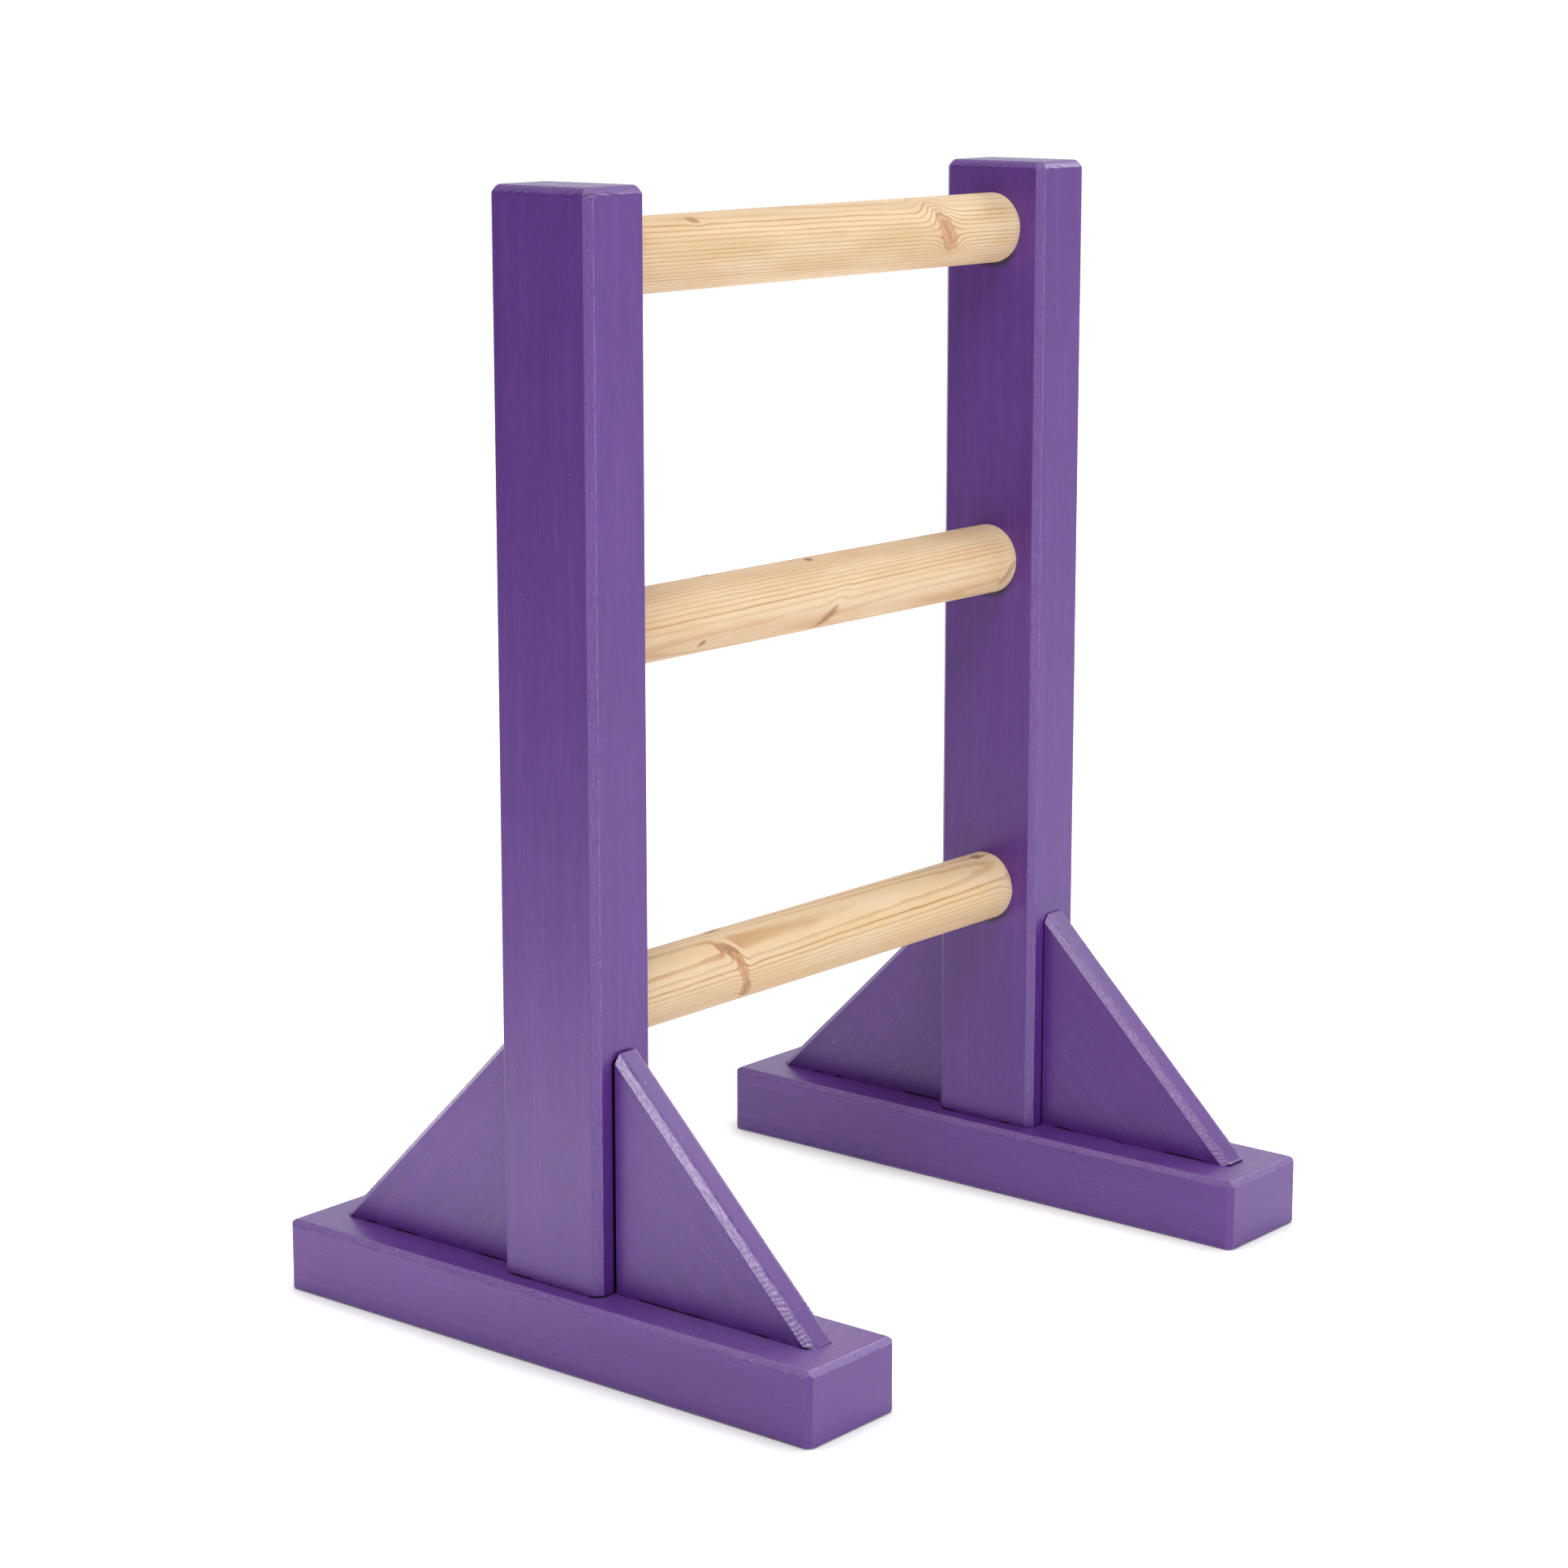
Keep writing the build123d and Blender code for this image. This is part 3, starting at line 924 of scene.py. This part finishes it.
def late_wood(g, years, pressed, contrast):
    """The dark late wood at the end of each year, and how strongly it shows.

    years counts the growth from the heart outwards, and pressed is 1 where a knot packs the rings.
    """
    part = g.math("FRACT", years)
    late = g.times(g.between(part, 0.50, 0.84), g.minus(1.0, g.between(part, 0.92, 1.0)))
    year = g.math("FLOOR", years)
    chance = g.add("ShaderNodeTexWhiteNoise", {"W": year}, noise_dimensions="1D")
    weight = g.plus(g.plus(0.24, g.times(chance, 0.50)), g.times(pressed, 0.45))
    patch = g.noise(grain_size(0, LATE_PATCH), 2.0)
    strength = g.plus(0.40 * contrast, g.times(patch, 1.1 * contrast))
    return late, g.times(late, g.times(weight, strength))


def ring_at(knot, growth, radius):
    """The growth ring radius at the middle of a knot."""
    angle = math.radians(knot.degrees)
    side = math.radians(growth.degrees) + knot.place * MM * growth.turn
    reach = growth.distance + knot.place * MM * growth.drift
    dy = -radius * math.cos(angle) + reach * math.cos(side)
    dz = radius * math.sin(angle) - reach * math.sin(side)
    return math.hypot(dy, dz)


def knot_field(g, x, arc, knot, radius):
    """Distance from a knot's middle, 1 on its oval edge, and the place across its width."""
    u = g.minus(x, knot.place * MM)
    v = g.minus(arc, math.radians(knot.degrees) * radius)
    c, s = math.cos(math.radians(knot.tilt)), math.sin(math.radians(knot.tilt))
    along = g.math("DIVIDE", g.plus(g.times(u, c), g.times(v, s)), knot.length * MM)
    across = g.math("DIVIDE", g.minus(g.times(v, c), g.times(u, s)), knot.width * MM)
    wobble = g.times(g.minus(g.noise([4 * MM] * 3, 2.0), 0.5), 0.35)
    away = g.math("SQRT", g.plus(g.times(along, along), g.times(across, across)))
    return g.plus(away, wobble), across


def knot_color(g, color, away, across, knot):
    """A knot: reddish wood with its own fine rings, a dark resin line round it and a darker core."""
    darkness = knot.darkness
    body = shade(*[a * (1 - darkness) + b * darkness for a, b in zip(RED_KNOT, DARK_KNOT)])
    inside = g.minus(1.0, g.between(away, 0.82, 1.10))
    rings = g.between(g.math("SINE", g.times(away, 24.0)), -0.2, 1.0)
    color = g.blend(g.times(inside, g.plus(0.70, g.times(rings, 0.25))), color, body)
    heart = g.minus(1.0, g.between(g.math("ABSOLUTE", across), 0.05, 0.40))
    heart = g.times(heart, g.minus(1.0, g.between(away, 0.3, 0.8)))
    color = g.blend(g.times(heart, 0.35 + 0.4 * darkness), color, KNOT_RIM)
    near = g.math("ABSOLUTE", g.minus(away, 1.02))
    rim = g.minus(1.0, g.between(near, 0.0, 0.18))
    broken = g.between(g.noise([3 * MM] * 3, 2.0), 0.38, 0.60)
    return g.blend(g.times(g.times(rim, broken), 0.45 + 0.4 * darkness), color, KNOT_RIM)


def steel_material(name):
    """Zinc plated steel with a fine turned finish and a faint yellow bloom."""
    g = Graph(name)
    spin = g.noise([0.6 * MM] * 3, 3.0)
    bloom = g.noise([4 * MM] * 3, 2.0)
    color = g.blend(g.between(bloom, 0.4, 0.7), shade(0.62, 0.60, 0.55), shade(0.66, 0.60, 0.42))
    rough = g.plus(0.28, g.times(spin, 0.22))
    return g.finish(color, rough, spin, 0.04 * MM, **{"Metallic": 1.0})


def floor_material():
    """A matt white floor that glows a little, with soft contact shadows under the feet.

    It glows more in a pool beside the left foot and far behind to the right, and it is greyer and
    has no glow far to the left, which the posts' inner faces reflect.
    """
    g = Graph("studio_floor")
    x, y, _ = g.axes
    tone = g.noise([0.6] * 3, 2.0)
    color = g.blend(tone, shade(0.90, 0.90, 0.90), shade(0.93, 0.93, 0.93))
    right = g.between(g.minus(x, g.times(y, 0.25)), *LEFT_FADE)
    color = g.blend(right, LEFT_FLOOR, color)
    behind = g.between(g.plus(g.times(x, 0.63), g.times(y, 0.77)), *BEHIND_FADE)
    dx, dy = g.minus(x, GLOW_POOL[0]), g.minus(y, GLOW_POOL[1])
    away = g.math("SQRT", g.plus(g.times(dx, dx), g.times(dy, dy)))
    pool = g.minus(1.0, g.between(away, *POOL_FADE))
    glow = g.plus(g.times(right, FLOOR_GLOW), g.times(pool, POOL_GLOW))
    glow = g.plus(glow, g.times(behind, FAR_GLOW))
    open_sky = g.add("ShaderNodeAmbientOcclusion", {"Distance": CONTACT_REACH}, output="AO", samples=8)
    color = g.blend(open_sky, CONTACT_SHADE, color)
    glow = g.times(glow, open_sky)
    return g.finish(
        color, g.plus(0.85, g.times(tone, 0.1)), tone, 0.01 * MM, **{
            "Specular IOR Level": 0.1,
            "Emission Color": g.join(glow, glow, glow),
            "Emission Strength": 1.0,
        },
    )


# ---------------------------------------------------------------- the object

# A knot's place along the bar in mm, degrees up from the front, half length and half width in mm,
# tilt in degrees, how dark it is, and how strongly it bends the rings round it, from 0 to 1.
Knot = namedtuple("Knot", "place degrees length width tilt darkness pull")
KNOTS = {
    "top": [
        Knot(101, 4, 12.8, 6.2, -60, 0.15, 0.95),
        Knot(-107, 58, 4.0, 2.4, -20, 0.50, 0.80),
    ],
    "middle": [
        Knot(-3, 80, 3.2, 2.3, 10, 0.90, 0.85),
        Knot(-84, 97, 3.0, 2.0, 0, 0.85, 0.80),
        Knot(-3, -36, 9.0, 2.8, 50, 0.45, 0.92),
        Knot(-107, -36, 3.0, 1.9, 30, 0.60, 0.85),
        Knot(163, -17, 7.0, 2.4, 52, 0.70, 0.85),
    ],
    "bottom": [
        Knot(-84, 42, 8.6, 3.8, -44, 0.55, 0.93),
        Knot(-78, 8, 12.5, 3.2, -68, 0.12, 0.93),
        Knot(-73, -32, 5.5, 4.0, -70, 0.40, 0.90),
        Knot(-77, 100, 7.0, 2.6, 10, 0.55, 0.80),
        Knot(157, 84, 4.6, 3.0, 0, 0.60, 0.85),
        Knot(173, 24, 9.0, 7.0, -80, 0.20, 0.90),
    ],
}
# Which side of a bar the heart of the tree lies on in degrees up from the front, how far away it
# is, how that changes along the bar, how the side turns along it in radians per metre, the width
# of a year's growth, and how strongly the rings show.
Growth = namedtuple("Growth", "degrees distance drift turn spacing contrast")
GROWTHS = {
    "top": Growth(-93, 64 * MM, 0.012, 0.20, 2.1 * MM, 1.0),
    "middle": Growth(140, 66 * MM, 0.016, -0.30, 2.1 * MM, 0.92),
    "bottom": Growth(-128, 60 * MM, -0.008, 0.14, 1.75 * MM, 1.08),
}

# How pale the chamfers of each kind of piece are, from thin worn paint and painted highlight, 0 to 1.
POST_WEAR_AND_SHEEN, FOOT_WEAR_AND_SHEEN, GUSSET_WEAR_AND_SHEEN, PLUG_WEAR = 0.12, 0.21, 0.72, 0.07
# The first noise seed of each kind of piece.
SEEDS = {"post": 10, "foot": 20, "gusset": 30, "bar": 60}


def build_bars():
    for index, name in enumerate(BARS):
        knots, early = KNOTS[name], EARLY_WOODS[name]
        piece, node = bar_piece(name, knots, SEEDS["bar"] + 5 * index)
        material = pine_material(f"pine_{name}", node, GROWTHS[name], early, knots)
        stand_for(piece, node, material)


def build_timber():
    post_paint = paint_material("paint_on_post", 2, POST_WEAR_AND_SHEEN, end_axis=2, bar_shadows=True)
    for index, side in enumerate(SIDES):
        foot_paint = paint_material(
            f"paint_on_{side}_foot", 1, FOOT_WEAR_AND_SHEEN, end_axis=1, upward_light=FOOT_UPWARD_LIGHT[side]
        )
        piece, node = post_piece(side, SEEDS["post"] + index)
        stand_for(piece, node, post_paint)
        piece, node = foot_piece(side, SEEDS["foot"] + index)
        stand_for(piece, node, foot_paint)
    lo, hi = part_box("left_front_gusset")
    slope = math.hypot(hi.y - lo.y, hi.z - lo.z)
    for end_index, end in enumerate(ENDS):
        lean = 1 if end == "front" else -1
        direction = (lean * (hi.y - lo.y) / slope, (hi.z - lo.z) / slope)
        gusset_paint = paint_material(f"paint_on_{end}_gusset", 1, GUSSET_WEAR_AND_SHEEN, slope=direction)
        for index, side in enumerate(SIDES):
            piece, node = gusset_piece(side, end, SEEDS["gusset"] + 10 * end_index + index)
            stand_for(piece, node, gusset_paint)


def dress_fasteners():
    """The CAD screws and nails keep their shape and get a real material."""
    steel = steel_material("zinc_steel")
    for node in ("bar_screws", "post_screws", "gusset_screws", "gusset_nails"):
        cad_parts[node].data.materials.clear()
        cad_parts[node].data.materials.append(steel)
    under_paint = paint_material("paint_on_filler", 2, PLUG_WEAR)
    for piece, node in (plug_piece(), filler_piece()):
        stand_for(piece, node, under_paint)


# ---------------------------------------------------------------- studio

FLOOR_RADIUS = 6.0
FLOOR_CENTRE = (0.6, 0.4)
LEFT_FLOOR = shade(0.66, 0.66, 0.66)
FLOOR_GLOW = 0.45
FAR_GLOW = 0.50
GLOW_POOL = (-0.56, 0.20)
POOL_GLOW = 1.50
# Where the left part of the floor ends, the part behind begins, and the pool ends.
LEFT_FADE = (-1.7, -0.7)
BEHIND_FADE = (0.7, 2.2)
POOL_FADE = (0.05, 0.38)
CONTACT_REACH = 22 * MM
CONTACT_SHADE = shade(0.35, 0.35, 0.35)
# How bright the backdrop is where none of its parts reaches.
PALE_STRENGTH = 0.35
# Parts of the backdrop: direction, where its fade starts and ends as cosines, and its strength.
BACKDROP = (
    ((-0.84, 0.52, -0.15), 0.35, 0.85, 0.22),
    ((0.85, 0.52, 0.0), 0.25, 0.85, 1.03),
)
# Each light: name, place, target, size, spread in degrees, power in watts and colour.
LIGHTS = (
    ("overhead", (1.7, 1.4, 2.6), (1.7, 1.4, 0), (4.4, 4.4), 50, 12, (1.0, 1.0, 1.0)),
    ("top", (-0.5, -0.3, 2.7), (0, 0, 0.2), (1.5, 1.5), 180, 9, (1.0, 0.99, 0.98)),
    ("left_high", (-1.7, -1.0, 2.3), (0, 0, 0.3), (0.9, 0.9), 180, 23.5, (1.0, 0.98, 0.97)),
    ("key", (-0.1, -2.4, 1.1), (0, 0, 0.2), (1.4, 1.4), 180, 14, (0.96, 0.98, 1.0)),
    ("right_low", (1.6, -2.1, 1.0), (0, 0, 0.3), (1.4, 1.4), 180, 3, (0.96, 0.98, 1.0)),
    ("right_high", (1.45, -0.5, 1.45), (-0.2, -0.1, 0.1), (0.5, 0.5), 180, 6, (1.0, 1.0, 1.0)),
)


def area_light(name, place, target, size, spread, power, color):
    data = bpy.data.lights.new(name, "AREA")
    data.shape = "RECTANGLE"
    data.size, data.size_y = size
    data.energy = power
    data.color = color
    data.spread = math.radians(spread)
    lamp = bpy.data.objects.new(name, data)
    lamp.location = place
    lamp.rotation_euler = (Vector(target) - Vector(place)).to_track_quat("-Z", "Y").to_euler()
    bpy.context.scene.collection.objects.link(lamp)


def build_backdrop():
    """Grey all round, white to the back right and darker to the back left."""
    world = bpy.data.worlds.new("studio")
    world.use_nodes = True
    tree = world.node_tree
    background = tree.nodes["Background"]
    background.inputs["Color"].default_value = (1.0, 1.0, 1.0, 1.0)
    place = tree.nodes.new("ShaderNodeTexCoord").outputs["Generated"]
    strength = None
    for direction, start, end, value in BACKDROP:
        side = tree.nodes.new("ShaderNodeVectorMath")
        side.operation = "DOT_PRODUCT"
        side.inputs[1].default_value = direction
        fade = tree.nodes.new("ShaderNodeMapRange")
        fade.interpolation_type = "SMOOTHSTEP"
        fade.inputs[1].default_value, fade.inputs[2].default_value = start, end
        fade.inputs[3].default_value, fade.inputs[4].default_value = PALE_STRENGTH, value
        tree.links.new(place, side.inputs[0])
        tree.links.new(side.outputs["Value"], fade.inputs[0])
        if strength:
            tree.links.new(strength, fade.inputs[3])
        strength = fade.outputs[0]
    tree.links.new(strength, background.inputs["Strength"])
    bpy.context.scene.world = world


def build_studio():
    scene = bpy.context.scene
    scene.view_settings.view_transform = "Standard"
    r, (cx, cy) = FLOOR_RADIUS, FLOOR_CENTRE
    around = [2 * math.pi * i / 96 for i in range(96)]
    rim = [(cx + r * math.cos(t), cy + r * math.sin(t), 0) for t in around]
    mesh = bpy.data.meshes.new("floor")
    mesh.from_pydata(rim, [], [range(len(rim))])
    mesh.materials.append(floor_material())
    floor = bpy.data.objects.new("floor", mesh)
    scene.collection.objects.link(floor)
    build_backdrop()
    for light in LIGHTS:
        area_light(*light)


def build_camera():
    data = bpy.data.cameras.new("camera")
    data.sensor_width = 36
    data.lens = CAMERA_LENS
    data.shift_y = CAMERA_SHIFT
    camera = bpy.data.objects.new("camera", data)
    a, e = math.radians(CAMERA_AZIMUTH), math.radians(CAMERA_ELEVATION)
    back = Vector((math.sin(a) * math.cos(e), -math.cos(a) * math.cos(e), math.sin(e)))
    camera.location = CAMERA_PLACE
    camera.rotation_euler = (-back).to_track_quat("-Z", "Y").to_euler()
    bpy.context.scene.collection.objects.link(camera)
    bpy.context.scene.camera = camera


build_camera()
build_studio()
build_timber()
build_bars()
dress_fasteners()
